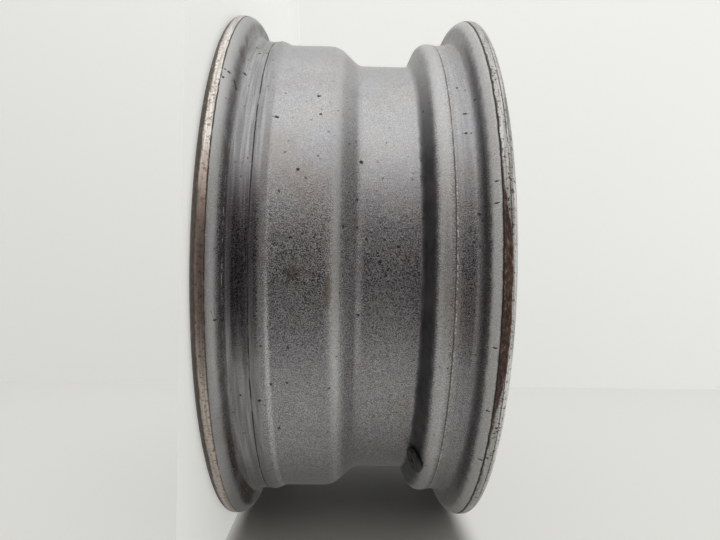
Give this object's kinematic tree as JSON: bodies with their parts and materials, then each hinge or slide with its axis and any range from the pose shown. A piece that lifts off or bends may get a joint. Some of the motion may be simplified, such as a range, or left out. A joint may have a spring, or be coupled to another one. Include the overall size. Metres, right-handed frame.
{
  "type": "steel wheel rim",
  "caption": "Pressed steel car wheel without tyre: rolled drop-well rim with J flanges and humps, welded stamped disc with vents and bolt holes, snap-in valve.",
  "frame": {"origin": "on the wheel's axis, midway between the two flanges", "axes": "+Z along the wheel's axis towards its outboard side; the wheel lies on its inboard flange"},
  "size_m": [0.4152, 0.415, 0.1846],
  "materials": {
    "rim_paint": "worn satin",
    "disc_paint": "satin",
    "weld_paint": "satin",
    "valve_rubber": "matte",
    "stem_brass": "satin",
    "core_nickel": "satin",
    "cap_plastic": "matte"
  },
  "bodies": {
    "root": {"rim": "rim_paint", "disc": "disc_paint", "disc_welds": "weld_paint", "valve_body": "valve_rubber", "valve_stem": "stem_brass", "valve_core": "core_nickel", "valve_cap": "cap_plastic"}
  },
  "joints": []
}
